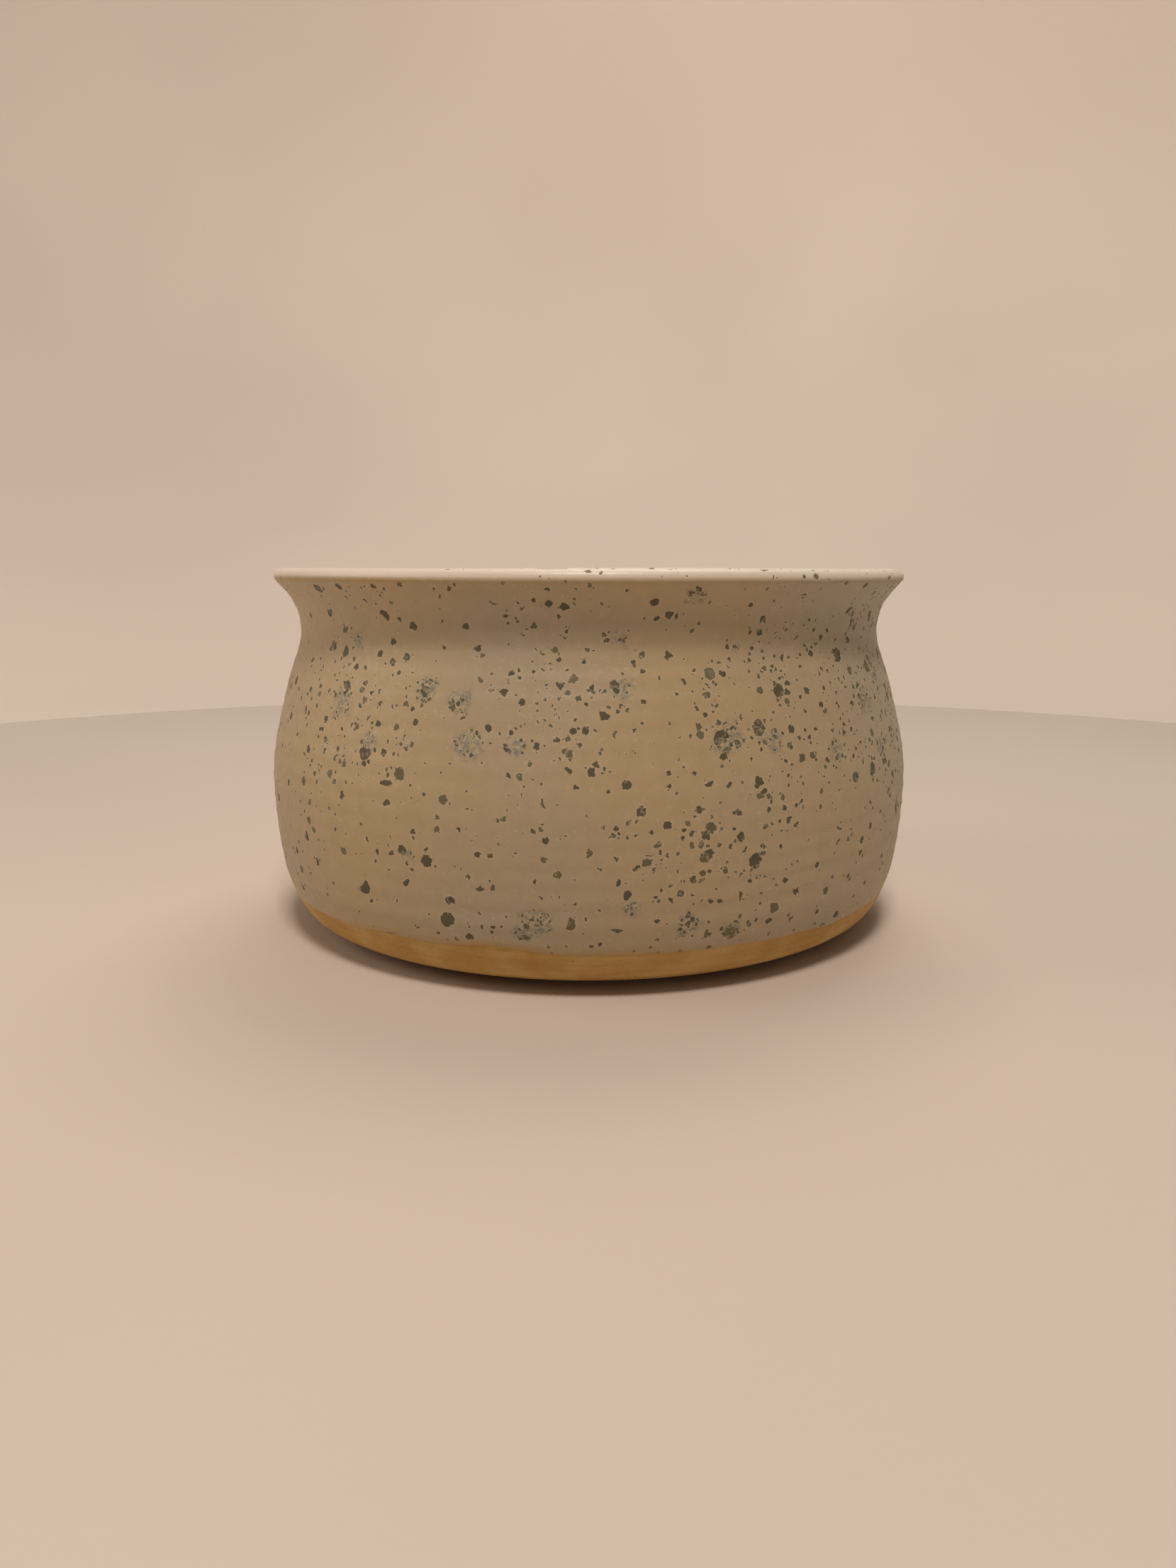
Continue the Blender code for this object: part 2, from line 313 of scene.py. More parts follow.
class Skin:
    """A mesh over (turn, along), open or closed, with the slot cut through it."""

    def __init__(self, line, alongs, turns, slot_extra, shape, keep=None, slide=None):
        self.line = line
        self.alongs = alongs
        self.turns = np.linspace(0.0, 2 * math.pi, turns, endpoint=False)
        self.slot_extra = slot_extra
        self.shape = shape
        self.keep = keep
        self.slide = slide
        self.extra_rings = []
        self.marks = {}
        self.mesh = bmesh.new()

    def place(self, turn, along):
        """World points for arrays of (turn, along)."""
        if self.slide:
            along = self.slide(turn, along)
        radius, height, normal_r, normal_z = self.line.read(along)
        x = radius * np.sin(turn)
        gap = np.where(np.cos(turn) > 0.0, slot_distance(x, height), 1.0) - self.slot_extra
        gap = np.round(gap, 7)
        lift = self.shape(turn, along, radius, height, gap)
        inward = np.clip(1.0 - np.maximum(gap, 0.0) / SLOT_ROUND, 0.0, 1.0)
        lift = lift - SLOT_ROUND * (1.0 - np.sqrt(1.0 - inward ** 2))
        radius = np.where(radius > 0.0, radius + normal_r * lift, 0.0)
        height = height + normal_z * lift
        return np.column_stack(settle(radius * np.sin(turn), radius * np.cos(turn), height))

    def verts(self, turn, along):
        """New vertices, each given the values of the skin's marks there."""
        turn = np.asarray(turn, float)
        along = np.asarray(along, float)
        made = [self.mesh.verts.new(point) for point in self.place(turn, along)]
        radius, height = self.line.read(along)[:2]
        gap = np.where(np.cos(turn) > 0.0, slot_distance(radius * np.sin(turn), height), 1.0)
        for layer, mark in self.marks.items():
            for vert, value in zip(made, mark(turn, along, gap)):
                vert[layer] = value
        return made

    def add_mark(self, name, mark):
        """A value from 0 to 1 at every vertex made from now on, for the material to read."""
        self.marks[self.mesh.verts.layers.float.new(name)] = mark

    def add_grid(self, patch_rows, end=None):
        """Regular faces up to an end row, everywhere but in the patch round the slot."""
        count = len(self.turns)
        rows = []
        for along in self.alongs[:None if end is None else end + 1]:
            if self.line.read(along)[0] < 1e-9:
                rows.append(self.verts([0.0], [along]) * count)
            else:
                rows.append(self.verts(self.turns, np.full(count, along)))
        for low in range(len(rows) - 1):
            in_patch = patch_rows[0] <= low < patch_rows[1]
            for step in range(count):
                if in_patch and self.in_patch(step):
                    continue
                after = (step + 1) % count
                corners = [rows[low][step], rows[low + 1][step], rows[low + 1][after], rows[low][after]]
                self.mesh.faces.new(list(dict.fromkeys(corners)))

    def in_patch(self, step):
        """Whether the column after a step lies in the slot's patch."""
        middle = (self.turns[step] + math.pi / len(self.turns) + math.pi) % (2 * math.pi) - math.pi
        return abs(middle) < PATCH_TURN

    def add_patch(self, first, last, row_chains=()):
        """Triangles round the slot, on rings that follow its edge."""
        step = 2 * math.pi / len(self.turns)
        reach = math.ceil(PATCH_TURN / step - 0.5)
        columns = np.arange(-reach, reach + 1) * step
        rows = self.alongs[first:last + 1]
        scale = RIM_RADIUS
        points = []
        edges = []

        def chain(turn, along, closed=False):
            """Points joined in a row, that the triangles must follow."""
            start = len(points)
            points.extend(zip(turn * scale, along))
            links = [(start + i, start + i + 1) for i in range(len(turn) - 1)]
            if closed:
                links.append((start + len(turn) - 1, start))
            edges.extend(links)

        chain(columns, np.full(len(columns), rows[0]))
        chain(columns, np.full(len(columns), rows[-1]))
        chain(np.full(len(rows), columns[0]), rows)
        chain(np.full(len(rows), columns[-1]), rows)
        for along in row_chains:
            chain(columns, np.full(len(columns), along))
        rings = self.rings()
        for extra in rings:
            outer, inner = slot_sides(self.line, self.slot_extra + extra)
            loop = np.vstack([outer, inner[-2:0:-1]])
            chain(loop[:, 0], loop[:, 1], closed=True)
        turn, along = np.meshgrid(columns[1:-1], rows[1:-1])
        turn = turn.ravel()
        along = along.ravel()
        radius, height = self.line.read(along)[:2]
        clear = slot_distance(radius * np.sin(turn), height) - self.slot_extra
        free = clear > rings[-1] + 0.5 * MM
        points.extend(zip(turn[free] * scale, along[free]))
        found, _, faces = delaunay_2d_cdt([Vector(p) for p in points], edges, [], 0, 1e-9)[:3]
        flat = np.array([tuple(p) for p in found])
        turn = flat[:, 0] / scale
        along = flat[:, 1]
        made = self.verts(turn, along)
        low, high = rows[0], rows[-1]
        for face in faces:
            middle_turn = np.mean(turn[list(face)])
            middle_along = np.mean(along[list(face)])
            radius, height = self.line.read(middle_along)[:2]
            gap = slot_distance(radius * math.sin(middle_turn), height) - self.slot_extra
            inside = low < middle_along < high and abs(middle_turn) < columns[-1]
            if gap < 0.0 or not inside:
                continue
            if self.keep and self.keep(middle_turn, middle_along, gap) < 0.0:
                continue
            self.mesh.faces.new([made[i] for i in reversed(face)])

    def rings(self):
        """Widths beyond the slot at which the patch has a ring of points."""
        near = [0.0, 0.1 * MM, 0.3 * MM, 0.6 * MM, 0.95 * MM, 1.3 * MM, 1.9 * MM, 2.6 * MM]
        return near + self.extra_rings

    def add_slot_wall(self):
        """The cut face between the outside and the inside."""
        outer, inner = slot_sides(self.line, self.slot_extra)
        far = self.verts(outer[:, 0], outer[:, 1])
        near = self.verts(inner[:, 0], inner[:, 1])
        for index in range(len(far) - 1):
            corners = [far[index], far[index + 1], near[index + 1], near[index]]
            self.mesh.faces.new(corners)

    def finish(self, name):
        """The object, welded, with no loose points and with its faces outward."""
        bmesh.ops.remove_doubles(self.mesh, verts=self.mesh.verts, dist=WELD)
        loose = [vert for vert in self.mesh.verts if not vert.link_faces]
        bmesh.ops.delete(self.mesh, geom=loose, context="VERTS")
        bmesh.ops.recalc_face_normals(self.mesh, faces=self.mesh.faces)
        widest = max(self.mesh.faces, key=lambda face: -face.calc_center_median().y)
        if widest.normal.y > 0.0:
            bmesh.ops.reverse_faces(self.mesh, faces=self.mesh.faces)
        data = bpy.data.meshes.new(name)
        self.mesh.to_mesh(data)
        self.mesh.free()
        data.shade_smooth()
        made = bpy.data.objects.new(name, data)
        bpy.context.scene.collection.objects.link(made)
        return made


def rows_between(start, end, spacing_at):
    """Distances along from start to end, stepped by a spacing that depends on the distance."""
    rows = [start]
    while rows[-1] < end:
        rows.append(rows[-1] + spacing_at(rows[-1]))
    rows = np.array(rows)
    return start + (rows - start) * (end - start) / (rows[-1] - start)


def row_near(rows, along):
    """The row nearest to a distance along."""
    return int(np.argmin(np.abs(rows - along)))


def clay_line():
    """The fired clay's section: from the axis under the foot, round the bowl, to the axis inside."""
    wall = clay_wall()
    height = wall[:, 1]
    lift = BARE_LIFT * smooth(FOOT[1], TOE[1], height) * (1 - smooth(*BARE_FADE, height))
    bare = moved(wall, lift)[::-1]
    rest = skin_line(0.0)[len(bare):]
    ring_inner = FOOT[0] - FOOT_RING_WIDTH
    ease = 0.5 * MM
    under = np.vstack([
        [[0.0, FOOT_RECESS]],
        arc((ring_inner - 2 * ease, FOOT_RECESS - ease), ease, math.pi / 2, 0.0, 5),
        arc((ring_inner, ease), ease, math.pi, 1.5 * math.pi, 5),
        arc((FOOT[0] - ease, ease), ease, -math.pi / 2, 0.0, 5)])
    return Line(np.vstack([under, bare, rest]))


def make_clay():
    """The fired clay body, bare below the glaze line and underneath."""
    line = clay_line()
    start_of_glaze = line.outside_at(HIDDEN_CLAY)
    rows = rows_between(0.0, line.along[-1], lambda s: 0.7 * MM if s < start_of_glaze else 2.6 * MM)
    first = row_near(rows, line.outside_at(PATCH_FOOT))
    last = row_near(rows, line.inside_at(PATCH_FOOT))

    def shape(turn, along, radius, height, gap):
        foot_fade = smooth(FOOT[1], TOE[1] * 2, height)
        turned = TURNING_LINES * np.sin(height / MM * 5.5 + turn) * foot_fade
        recess = (height > 0.8 * FOOT_RECESS) * (radius < FOOT[0])
        under = RECESS_LINES * np.sin(radius / MM * 1.9 - turn) * recess
        return turned * (along < start_of_glaze) + under * (along < line.outside_at(FOOT[1] * 1.5))

    skin = Skin(line, rows, TURN_STEPS, COAT_LIFT, shape)
    skin.add_grid((first, last))
    skin.add_patch(first, last)
    skin.add_slot_wall()
    return skin.finish("fired_clay")


def make_coat():
    """The speckled coat: outside, over the lip, through the slot and a little way round it inside."""
    line = Line(skin_line(COAT_LIFT))
    edge = line.outside_at(GLAZE_LINE)
    lap = line.inside_at(HEIGHT - LAP_DROP)
    below_slot = line.inside_at(PATCH_FOOT)
    rows = np.concatenate([
        rows_between(edge, lap, lambda s: (0.2 if min(s - edge, lap - s) < 0.9 * MM else 0.95) * MM),
        rows_between(lap, below_slot, lambda s: 1.0 * MM)[1:]])
    first = row_near(rows, line.outside_at(PATCH_FOOT))
    lap_row = row_near(rows, lap)

    def from_edge(turn, along, gap):
        """Distance from the nearest edge of the coat."""
        return np.minimum(along - edge, np.maximum(lap - along, COLLAR - gap))

    def shape(turn, along, radius, height, gap):
        inset = np.maximum(from_edge(turn, along, gap), 0.0)
        thin = 0.33 * MM * (1 - smooth(0.0, 6 * MM, inset))
        rounded = 1 - np.clip(inset / (0.5 * MM), 0.0, 1.0)
        roll = 0.35 * MM * (1 - np.sqrt(1 - rounded ** 2))
        outside = along < line.apex
        rings = throwing_rings(turn, height, COAT_RINGS) * outside * smooth(0.0, 8 * MM, line.apex - along)
        return rings * smooth(0.0, 4 * MM, inset) - thin - roll

    def slide(turn, along):
        near_foot = (1 - smooth(edge, edge + 12 * MM, along)) * glaze_edge(turn)
        apart = np.abs((turn + math.pi) % (2 * math.pi) - math.pi)
        free = smooth(PATCH_TURN, PATCH_TURN * 1.8, apart)
        near_lap = smooth(lap - 6 * MM, lap, along) * free * lap_edge(turn)
        return along + near_foot + near_lap

    def thin(turn, along, gap):
        foot = 1 - smooth(0.0, 2.2 * MM, from_edge(turn, along, gap))
        slot = 1 - smooth(0.0, 1.0 * MM, np.abs(gap - 0.4 * MM))
        under_lip = np.exp(-((along - line.apex + 3.3 * MM) / (0.5 * MM)) ** 2)
        return np.maximum(np.maximum(foot, 0.7 * slot), (0.55 + 0.25 * np.sin(2 * turn)) * under_lip)

    # Where the lip's crest lies: the glaze gets a painted highlight there and a lower roughness
    def crest(turn, along, gap):
        return 1 - smooth(2.1 * MM, 2.9 * MM, np.abs(along - line.apex))

    skin = Skin(line, rows, TURN_STEPS, 0.0, shape, keep=from_edge, slide=slide)
    skin.add_mark("thin", thin)
    skin.add_mark("crest", crest)
    skin.extra_rings = [COLLAR - inset for inset in (0.9 * MM, 0.45 * MM, 0.2 * MM, 0.0)]
    skin.add_grid((first, len(rows) - 1), end=lap_row)
    skin.add_patch(first, len(rows) - 1, row_chains=[lap])
    skin.add_slot_wall()
    coat = skin.finish("speckled_coat")
    thicken(coat)
    return coat


def make_liner():
    """The coat inside, from under the speckled coat's edge to the middle of the floor."""
    line = Line(skin_line(LINER_LIFT))
    start = line.inside_at(HEIGHT - LAP_DROP + 3 * MM)
    rows = rows_between(start, line.along[-1], lambda s: 1.4 * MM)
    last = row_near(rows, line.inside_at(PATCH_FOOT))

    def shape(turn, along, radius, height, gap):
        under_coat = LINER_LIFT * (1 - smooth(start, start + 1.5 * MM, along))
        wall = smooth(start, start + 10 * MM, along) * smooth(0.012, 0.03, radius)
        return throwing_rings(turn, height * 0.8, LINER_RINGS) * wall - under_coat

    skin = Skin(line, rows, LINER_TURN_STEPS, 1.6 * MM, shape)
    skin.add_grid((0, last))
    skin.add_patch(0, last)
    liner = skin.finish("liner_coat")
    thicken(liner)
    return liner


def thicken(coat):
    """Give a skin the thickness of a coat of glaze, inwards."""
    shell = coat.modifiers.new("thickness", "SOLIDIFY")
    shell.thickness = COAT_THICKNESS
    shell.offset = -1.0


# ---------------------------------------------------------------- materials

# GLAZE_WARM and GLAZE_COOL carry random tone drift and also a painted left-to-right light shift, in
# coat_colour
GLAZE_WARM = (0.49, 0.372, 0.205, 1.0)
GLAZE_COOL = (0.425, 0.362, 0.258, 1.0)
GLAZE_DEEP = (0.36, 0.26, 0.13, 1.0)
GLAZE_THIN = (0.46, 0.30, 0.11, 1.0)
GLAZE_PALE = (0.56, 0.47, 0.33, 1.0)
# Near-white colour of the painted highlight along the lip's crest
CREST_PAINTED_HIGHLIGHT = (0.88, 0.79, 0.66, 1.0)
SPECK_DARK = (0.062, 0.055, 0.024, 1.0)
SPECK_GREY = (0.135, 0.118, 0.055, 1.0)
SPECK_RUST = (0.24, 0.10, 0.03, 1.0)
SMEAR_GREY = (0.20, 0.20, 0.17, 1.0)
CLAY_OCHRE = (0.51, 0.295, 0.080, 1.0)
CLAY_DARK = (0.38, 0.20, 0.055, 1.0)
CLAY_LIGHT = (0.60, 0.40, 0.15, 1.0)
GRIT_BROWN = (0.12, 0.06, 0.025, 1.0)

class Shader:
    """A material, with short ways to add its nodes."""

    def __init__(self, name):
        self.material = bpy.data.materials.new(name)
        self.material.use_nodes = True
        self.tree = self.material.node_tree
        self.surface = self.tree.nodes["Principled BSDF"]
        self.point = self.node("ShaderNodeTexCoord").outputs["Object"]

    def node(self, kind, inputs=None, **settings):
        made = self.tree.nodes.new(kind)
        for key, value in settings.items():
            setattr(made, key, value)
        for key, value in (inputs or {}).items():
            self.put(made.inputs[key], value)
        return made

    def put(self, socket, value):
        if isinstance(value, bpy.types.NodeSocket):
            self.tree.links.new(value, socket)
        else:
            socket.default_value = value

    def math(self, operation, *values):
        inputs = dict(enumerate(values))
        return self.node("ShaderNodeMath", inputs, operation=operation).outputs[0]

    def vector(self, operation, *values):
        inputs = dict(enumerate(values))
        return self.node("ShaderNodeVectorMath", inputs, operation=operation)

    def ease(self, value, low, high, out_low=0.0, out_high=1.0):
        inputs = {"Value": value, "From Min": low, "From Max": high, "To Min": out_low, "To Max": out_high}
        return self.node("ShaderNodeMapRange", inputs, interpolation_type="SMOOTHSTEP").outputs["Result"]

    def mix(self, share, one, other):
        made = self.node("ShaderNodeMix", data_type="RGBA")
        for index, value in ((0, share), (6, one), (7, other)):
            self.put(made.inputs[index], value)
        return made.outputs[2]

    def noise(self, size, detail=2.0, roughness=0.5, point=None):
        inputs = {"Vector": point or self.point, "Scale": 1 / size, "Detail": detail, "Roughness": roughness}
        return self.node("ShaderNodeTexNoise", inputs)

    def cells(self, feature, size, point):
        inputs = {"Vector": point, "Scale": 1 / size, "Randomness": 1.0}
        return self.node("ShaderNodeTexVoronoi", inputs, feature=feature)

    def bump(self, height, distance):
        inputs = {"Height": height, "Distance": distance, "Strength": 1.0}
        return self.node("ShaderNodeBump", inputs).outputs["Normal"]


# Where specks gather: angle round from the front in degrees, height, reach and strength
SPECK_DRIFTS = (
    (-42, 58 * MM, 27 * MM, 1.3),
    (-4, 60 * MM, 22 * MM, 0.5),
    (33, 58 * MM, 28 * MM, 1.1),
    (64, 55 * MM, 32 * MM, 2.0),
    (18, 20 * MM, 23 * MM, 1.0),
    (-100, 54 * MM, 34 * MM, 1.1),
    (125, 40 * MM, 38 * MM, 1.0),
    (-160, 50 * MM, 38 * MM, 1.2),
)


def round_from_front(degrees, radius, height):
    """The point at an angle round from the front, towards +X."""
    front = math.radians(degrees)
    return radius * math.sin(front), -radius * math.cos(front), height


def speck_density(shader):
    """How thickly the specks lie at a point: some everywhere, more in drifts, and patchy."""
    total = 0.36
    for degrees, height, reach, strength in SPECK_DRIFTS:
        centre = round_from_front(degrees, BELLY[0], height)
        distance = shader.vector("DISTANCE", shader.point, centre).outputs["Value"]
        total = shader.math("ADD", total, shader.ease(distance, reach, 0.3 * reach, 0.0, strength))
    patches = shader.noise(11 * MM, 1.0).outputs["Fac"]
    return shader.math("MULTIPLY", total, shader.ease(patches, 0.34, 0.66, 0.35, 1.4))


def ragged_point(shader, seed, grain, reach):
    """The surface point shifted by noise, so that what is drawn there has an uneven outline."""
    wander = shader.noise(grain, 2.0).outputs["Color"]
    wander = shader.vector("SUBTRACT", wander, (0.5, 0.5, 0.5)).outputs["Vector"]
    wander = shader.node("ShaderNodeVectorMath", {0: wander, "Scale": reach * 4}, operation="SCALE")
    return shader.vector("ADD", shader.vector("ADD", shader.point, seed).outputs["Vector"],
                         wander.outputs["Vector"]).outputs["Vector"]


def grains(shader, point, spacing, likely, smallest, largest, angular=0.0):
    """Grains, at most one to a cell: how far inside one, how far in its pale rim, and its own tone."""
    cell = shader.cells("F1", spacing, point)
    own = shader.node("ShaderNodeSeparateColor", {"Color": cell.outputs["Color"]}).outputs
    present = shader.math("LESS_THAN", own["Red"], likely)
    share = shader.math("POWER", own["Green"], 2.0)
    radius = shader.math("MULTIPLY_ADD", share, largest - smallest, smallest)
    distance = shader.math("MULTIPLY", cell.outputs["Distance"], spacing)
    depth = shader.math("SUBTRACT", radius, distance)
    if angular:
        wall = shader.cells("DISTANCE_TO_EDGE", spacing, point).outputs["Distance"]
        wall = shader.math("SUBTRACT", shader.math("MULTIPLY", wall, spacing), angular)
        depth = shader.math("MINIMUM", depth, wall)
    inside = shader.math("MULTIPLY", shader.ease(depth, -0.05 * MM, 0.06 * MM), present)
    rim = shader.math("MULTIPLY", shader.ease(depth, -0.34 * MM, -0.06 * MM), present)
    return inside, rim, own["Blue"]


def coat_colour(shader):
    """The glaze without its specks: warm cream that drifts at random to a cooler grey and is painted warmer
    on the left and cooler on the right as side light, with a fine mottle.
    """
    drift_and_side_light = shader.noise(60 * MM, 2.0, 0.5).outputs["Fac"]
    mottle = shader.noise(3.2 * MM, 4.0, 0.6).outputs["Fac"]
    # Painted light: the tone is pushed warm on the left (-X) and cool on the right (+X), as if lit warm from
    # the left
    across = shader.node("ShaderNodeSeparateXYZ", {0: shader.point}).outputs["X"]
    drift_and_side_light = shader.math("MULTIPLY_ADD", across, -2.0, drift_and_side_light)
    colour = shader.mix(shader.ease(drift_and_side_light, 0.28, 0.68), GLAZE_COOL, GLAZE_WARM)
    colour = shader.mix(shader.ease(mottle, 0.3, 0.75, 0.0, 0.22), colour, GLAZE_DEEP)
    return colour


# Crumbly clusters on the side away from the slot: degrees round from the front, height and reach in mm
CLUSTERS = (
    (-43, 70, 2.2), (-26, 61, 3.0), (-20, 59, 3.4), (-36, 50, 3.0), (-18, 51, 4.0), (-11, 51, 2.6),
    (5, 62, 3.0), (16, 79, 2.4), (21, 52, 4.4), (29, 51, 3.2), (42, 48, 2.8), (54, 56, 3.8), (57, 46, 3.2),
    (-28, 29, 2.0), (6, 20, 2.4), (15, 16, 3.4), (22, 14, 2.8), (-10, 15, 2.4), (-70, 58, 3.4), (82, 50, 3.8),
)


def clusters(shader, density):
    """How far inside a cluster of specks a point is: those listed, and a few strays."""
    point = ragged_point(shader, (0.31, 0.17, 0.05), 3.0 * MM, 1.3 * MM)
    cell = shader.cells("F1", 15 * MM, point)
    own = shader.node("ShaderNodeSeparateColor", {"Color": cell.outputs["Color"]}).outputs
    present = shader.math("LESS_THAN", own["Red"], shader.math("MULTIPLY", density, 0.5))
    reach = shader.ease(cell.outputs["Distance"], 0.26, 0.12)
    total = shader.math("MULTIPLY", reach, present)
    point = ragged_point(shader, (0.0, 0.0, 0.0), 2.5 * MM, 0.9 * MM)
    outline = Line(skin_line(COAT_LIFT))
    for degrees, height, reach in CLUSTERS:
        radius = outline.read(outline.outside_at(height * MM))[0]
        centre = round_from_front(degrees, radius, height * MM)
        distance = shader.vector("DISTANCE", point, centre).outputs["Value"]
        total = shader.math("MAXIMUM", total, shader.ease(distance, reach * MM, 0.45 * reach * MM))
    return total


# The sizes of speck, largest first: seed, spacing, chance in the open and in a cluster, smallest and
# largest radius, and how far each is cut back from its neighbours to give it straight sides
SPECK_LAYERS = (
    ((0.0, 0.0, 0.0), 4.6 * MM, 0.38, 0.7, 0.80 * MM, 1.9 * MM, 0.50 * MM),
    ((0.11, 0.07, 0.23), 2.6 * MM, 0.95, 0.7, 0.42 * MM, 1.10 * MM, 0.28 * MM),
    ((0.27, 0.61, 0.19), 1.35 * MM, 0.0, 0.85, 0.28 * MM, 0.70 * MM, 0.08 * MM),
    ((0.43, 0.29, 0.02), 1.6 * MM, 0.80, 0.9, 0.20 * MM, 0.50 * MM, 0.0),
)


def speckled_glaze():
    """Satin-matt glaze with iron specks, crumbly clusters of them and faint grey smears, and a painted
    highlight along the lip's crest.
    """
    shader = Shader("speckled_glaze")
    colour = coat_colour(shader)
    density = speck_density(shader)
    cluster = clusters(shader, density)
    patchy = shader.noise(0.9 * MM, 3.0, 0.65).outputs["Fac"]
    wash = shader.math("MULTIPLY", cluster, shader.ease(patchy, 0.42, 0.56))
    colour = shader.mix(shader.math("MULTIPLY", wash, 0.80), colour, SMEAR_GREY)
    iron = 0.0
    for seed, spacing, chance, crowding, smallest, largest, angular in SPECK_LAYERS:
        point = ragged_point(shader, seed, 0.7 * MM, 0.27 * MM)
        likely = shader.math("MULTIPLY_ADD", density, chance, shader.math("MULTIPLY", cluster, crowding))
        inside, rim, tone = grains(shader, point, spacing, likely, smallest, largest, angular)
        dark = shader.mix(shader.ease(tone, 0.35, 0.95), SPECK_DARK, SPECK_GREY)
        colour = shader.mix(shader.math("MULTIPLY", rim, 0.40), colour, GLAZE_PALE)
        colour = shader.mix(shader.math("MULTIPLY", inside, 0.92), colour, dark)
        iron = shader.math("MAXIMUM", iron, inside)
    rust, _, _ = grains(shader, shader.point, 2.4 * MM, 0.16, 0.10 * MM, 0.26 * MM)
    colour = shader.mix(shader.math("MULTIPLY", rust, 0.7), colour, SPECK_RUST)
    # Painted highlight: the lip's crest is painted pale, less so where specks lie
    crest = shader.node("ShaderNodeAttribute", attribute_name="crest").outputs["Fac"]
    painted_highlight = shader.math("MULTIPLY", crest, shader.ease(iron, 0.0, 1.0, 0.85, 0.1))
    colour = shader.mix(painted_highlight, colour, CREST_PAINTED_HIGHLIGHT)
    thin = shader.node("ShaderNodeAttribute", attribute_name="thin").outputs["Fac"]
    streaks = shader.noise(1.5 * MM, 3.0).outputs["Fac"]
    worn = shader.math("MULTIPLY", thin, shader.ease(streaks, 0.2, 0.7, 0.55, 1.0))
    colour = shader.mix(worn, colour, GLAZE_THIN)
    shader.put(shader.surface.inputs["Base Color"], colour)
    gloss = shader.noise(2.0 * MM, 3.0).outputs["Fac"]
    roughness = shader.ease(gloss, 0.25, 0.75, 0.42, 0.58)
    roughness = shader.math("MULTIPLY_ADD", crest, -0.12, roughness)
    shader.put(shader.surface.inputs["Roughness"], shader.math("MULTIPLY_ADD", iron, 0.15, roughness))
    orange_peel = shader.noise(0.9 * MM, 3.0, 0.6).outputs["Fac"]
    relief = shader.math("MULTIPLY_ADD", iron, -0.6, orange_peel)
    shader.put(shader.surface.inputs["Normal"], shader.bump(relief, 0.06 * MM))
    return shader.material


def liner_glaze():
    """The plain cream glaze inside, with few specks."""
    shader = Shader("liner_glaze")
    # The liner's ground colour also carries the painted warm-left, cool-right light shift
    colour = coat_colour(shader)
    point = ragged_point(shader, (0.13, 0.41, 0.27), 0.8 * MM, 0.20 * MM)
    inside, rim, _ = grains(shader, point, 3.0 * MM, 0.10, 0.30 * MM, 0.80 * MM)
    colour = shader.mix(shader.math("MULTIPLY", rim, 0.4), colour, GLAZE_PALE)
    colour = shader.mix(shader.math("MULTIPLY", inside, 0.85), colour, SPECK_GREY)
    shader.put(shader.surface.inputs["Base Color"], colour)
    gloss = shader.noise(2.4 * MM, 3.0).outputs["Fac"]
    shader.put(shader.surface.inputs["Roughness"], shader.ease(gloss, 0.25, 0.75, 0.36, 0.50))
    orange_peel = shader.noise(1.1 * MM, 3.0, 0.6).outputs["Fac"]
    shader.put(shader.surface.inputs["Normal"], shader.bump(orange_peel, 0.05 * MM))
    return shader.material


def bare_clay():
    """Warm ochre stoneware with fine turning lines and iron grit."""
    shader = Shader("bare_clay")
    parts = shader.node("ShaderNodeSeparateXYZ", {0: shader.point}).outputs
    flattened = shader.node("ShaderNodeCombineXYZ", {
        "X": shader.math("MULTIPLY", parts["X"], 0.06), "Y": shader.math("MULTIPLY", parts["Y"], 0.06),
        "Z": parts["Z"]}).outputs["Vector"]
    lines = shader.noise(0.9 * MM, 3.0, 0.6, point=flattened).outputs["Fac"]
    tone = shader.noise(14 * MM, 3.0, 0.6).outputs["Fac"]
    grain = shader.noise(0.5 * MM, 2.0, 0.7).outputs["Fac"]
    colour = shader.mix(shader.ease(tone, 0.35, 0.65), CLAY_OCHRE, CLAY_LIGHT)
    colour = shader.mix(shader.ease(lines, 0.35, 0.7, 0.0, 0.28), colour, CLAY_DARK)
    colour = shader.mix(shader.ease(grain, 0.55, 0.75, 0.0, 0.35), colour, CLAY_DARK)
    grit, _, _ = grains(shader, shader.point, 1.8 * MM, 0.30, 0.08 * MM, 0.30 * MM)
    colour = shader.mix(shader.math("MULTIPLY", grit, 0.8), colour, GRIT_BROWN)
    shader.put(shader.surface.inputs["Base Color"], colour)
    shader.put(shader.surface.inputs["Roughness"], shader.ease(grain, 0.3, 0.7, 0.78, 0.92))
    relief = shader.math("MULTIPLY_ADD", lines, 1.5, grain)
    shader.put(shader.surface.inputs["Normal"], shader.bump(relief, 0.10 * MM))
    return shader.material


def plain_cloth(name, lightness):
    """A plain warm, pale surface."""
    shader = Shader(name)
    tone = shader.noise(0.35, 2.0).outputs["Fac"]
    one = (lightness * 1.06, lightness * 0.93, lightness * 0.81, 1.0)
    other = (lightness, lightness * 0.87, lightness * 0.76, 1.0)
    shader.put(shader.surface.inputs["Base Color"], shader.mix(shader.ease(tone, 0.3, 0.7), one, other))
    shader.surface.inputs["Roughness"].default_value = 0.9
    return shader.material


# ---------------------------------------------------------------- stage

FLOOR_RADIUS = 1.7
FLOOR_LIGHTNESS = 0.68

# The backdrop: where it starts to rise, how it bends, how high it goes and how pale it is
BACKDROP_START = 0.45
BACKDROP_BEND = 0.75
BACKDROP_TOP = 1.3
BACKDROP_LIGHTNESS = 0.80

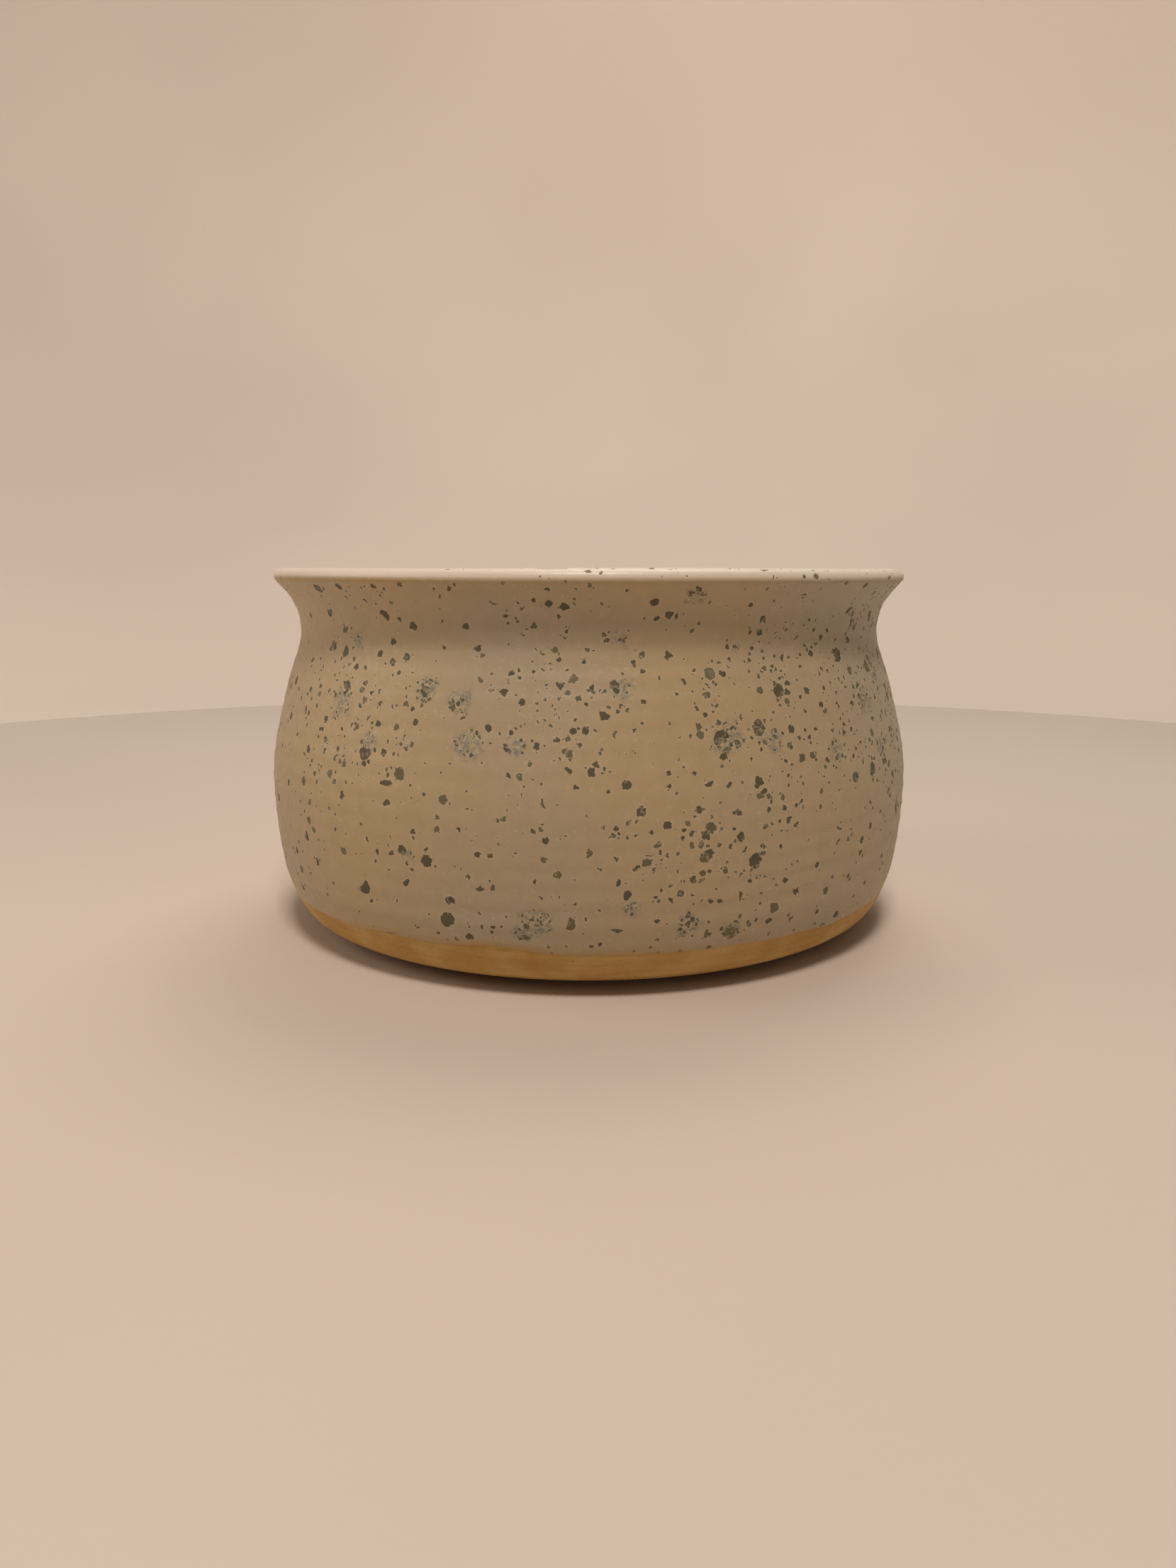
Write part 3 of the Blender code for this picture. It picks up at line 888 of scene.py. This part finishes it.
# The camera: where it stands from the bowl's axis, its tilt in degrees and its lens
CAMERA_SIDE = -0.0002
CAMERA_BACK = -0.292
CAMERA_ABOVE_RIM = 0.3 * MM
CAMERA_TILT = 10.44
CAMERA_LENS = 27.02

ROOM_COLOUR = (1.0, 0.87, 0.78, 1.0)
ROOM_STRENGTH = 0.15


def turned_sheet(name, profile, steps=96):
    """A surface turned round the Z axis from a profile of (radius, height); one point makes a disc."""
    shape = bmesh.new()
    turns = np.linspace(0.0, 2 * math.pi, steps, endpoint=False)
    rows = [[shape.verts.new((r * math.cos(a), r * math.sin(a), z)) for a in turns] for r, z in profile]
    for low, high in zip(rows, rows[1:]):
        for step in range(steps):
            after = (step + 1) % steps
            shape.faces.new((low[step], low[after], high[after], high[step]))
    if len(rows) == 1:
        shape.faces.new(rows[0])
    data = bpy.data.meshes.new(name)
    shape.to_mesh(data)
    shape.free()
    data.shade_smooth()
    sheet = bpy.data.objects.new(name, data)
    bpy.context.scene.collection.objects.link(sheet)
    return sheet


def make_floor():
    """A flat floor, and a backdrop that curves up all round it and casts no shadow."""
    floor = turned_sheet("floor", [(FLOOR_RADIUS, 0.0)])
    flat = BACKDROP_START
    bend = BACKDROP_BEND
    turns = np.linspace(0.03, math.pi / 2, 24)
    curve = [(flat + bend * math.sin(a), bend - bend * math.cos(a)) for a in turns]
    backdrop = turned_sheet("backdrop", curve + [(flat + bend, BACKDROP_TOP)])
    backdrop.visible_diffuse = False
    backdrop.visible_shadow = False
    floor_look = plain_cloth("pale_floor", FLOOR_LIGHTNESS)
    backdrop_look = plain_cloth("pale_wall", BACKDROP_LIGHTNESS)
    for sheet, look in ((floor, floor_look), (backdrop, backdrop_look)):
        sheet.data.materials.append(look)


def add_light(name, place, aim, size, power, colour):
    """A soft square light that the camera doesn't see."""
    data = bpy.data.lights.new(name, "AREA")
    data.shape = "SQUARE"
    data.size = size
    data.energy = power
    data.color = colour
    light = bpy.data.objects.new(name, data)
    light.location = place
    light.rotation_euler = (Vector(aim) - Vector(place)).to_track_quat("-Z", "Y").to_euler()
    light.visible_camera = False
    bpy.context.scene.collection.objects.link(light)


def add_camera():
    """The camera: level with the rim, in front of the bowl, tilted a little down."""
    data = bpy.data.cameras.new("camera")
    data.sensor_width = 36.0
    data.lens = CAMERA_LENS
    data.clip_start = 0.01
    camera = bpy.data.objects.new("camera", data)
    camera.location = (CAMERA_SIDE, CAMERA_BACK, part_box("outer_glaze")[1].z + CAMERA_ABOVE_RIM)
    camera.rotation_euler = (math.radians(90 - CAMERA_TILT), 0.0, 0.0)
    bpy.context.scene.collection.objects.link(camera)
    bpy.context.scene.camera = camera


def light_stage():
    """A light high in front, a weaker one from the left and a broad one above and behind, in a dim room."""
    world = bpy.data.worlds.new("room")
    bpy.context.scene.world = world
    world.use_nodes = True
    world.node_tree.nodes["Background"].inputs["Color"].default_value = ROOM_COLOUR
    world.node_tree.nodes["Background"].inputs["Strength"].default_value = ROOM_STRENGTH
    add_light("high_front", (0.02, -0.55, 1.05), (0, 0, 0.04), 0.22, 6.8, (1.0, 0.88, 0.79))
    add_light("left", (-1.0, -0.05, 0.55), (0, 0, 0.05), 0.6, 2.2, (1.0, 0.88, 0.76))
    add_light("behind", (0.15, 0.62, 1.25), (0.02, 0.35, 0), 0.7, 5.8, (1.0, 0.89, 0.80))
    bpy.context.scene.view_settings.view_transform = "Standard"


# ---------------------------------------------------------------- the bowl

clay = make_clay()
clay.data.materials.append(bare_clay())
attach(clay, "root")
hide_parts("stoneware_body")

coat = make_coat()
coat.data.materials.append(speckled_glaze())
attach(coat, "root")
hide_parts("outer_glaze")

liner = make_liner()
liner.data.materials.append(liner_glaze())
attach(liner, "root")
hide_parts("liner_glaze")

make_floor()
light_stage()
add_camera()
